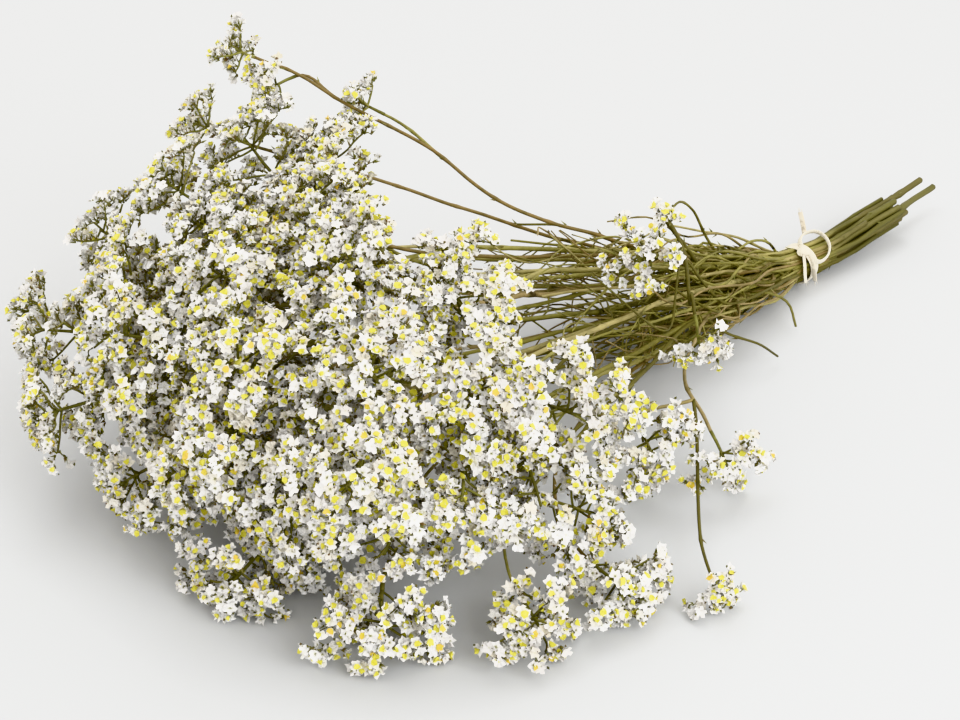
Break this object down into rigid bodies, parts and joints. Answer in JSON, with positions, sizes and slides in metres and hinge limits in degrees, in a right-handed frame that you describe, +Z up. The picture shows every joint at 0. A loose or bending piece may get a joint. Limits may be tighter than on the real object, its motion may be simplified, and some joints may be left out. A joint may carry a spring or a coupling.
{
  "type": "dried statice bunch",
  "caption": "Dried bunch of white statice lying on its side: olive stems held by a cream tie, forking into a wide cushion of small papery white and yellow flowers.",
  "frame": {"origin": "middle of the bunch seen from above, on the surface it lies on", "axes": "+X along the bunch from the flower head to the cut stem ends, +Z up, +Y to the far side of the bunch"},
  "size_m": [0.4574, 0.3194, 0.1306],
  "materials": {
    "stems": "matt, dry and finely ridged olive green, browner at the forks",
    "flowers": "matt papery white with small lemon yellow middles and olive bracts",
    "tie": "matt cream woven band"
  },
  "bodies": {
    "root": {"stem_01": "stems", "stem_02": "stems", "stem_03": "stems", "stem_04": "stems", "stem_05": "stems", "stem_06": "stems", "stem_07": "stems", "stem_08": "stems", "stem_09": "stems", "stem_10": "stems", "stem_11": "stems", "stem_12": "stems", "spray_01": "flowers", "spray_02": "flowers", "spray_03": "flowers", "spray_04": "flowers", "spray_05": "flowers", "spray_06": "flowers", "spray_07": "flowers", "spray_08": "flowers", "spray_09": "flowers", "spray_10": "flowers", "spray_11": "flowers", "spray_12": "flowers", "spray_13": "flowers", "spray_14": "flowers", "spray_15": "flowers", "spray_16": "flowers", "spray_17": "flowers", "spray_18": "flowers", "spray_19": "flowers", "spray_20": "flowers", "spray_21": "flowers", "spray_22": "flowers", "spray_23": "flowers", "spray_24": "flowers", "spray_25": "flowers", "spray_26": "flowers", "spray_27": "flowers", "spray_28": "flowers", "spray_29": "flowers", "spray_30": "flowers", "spray_31": "flowers", "spray_32": "flowers", "spray_33": "flowers", "spray_34": "flowers", "spray_35": "flowers", "spray_36": "flowers", "spray_37": "flowers", "spray_38": "flowers", "spray_39": "flowers", "spray_40": "flowers", "spray_41": "flowers", "spray_42": "flowers", "spray_43": "flowers", "spray_44": "flowers", "spray_45": "flowers", "spray_46": "flowers", "spray_47": "flowers", "tie": "tie"}
  },
  "joints": []
}
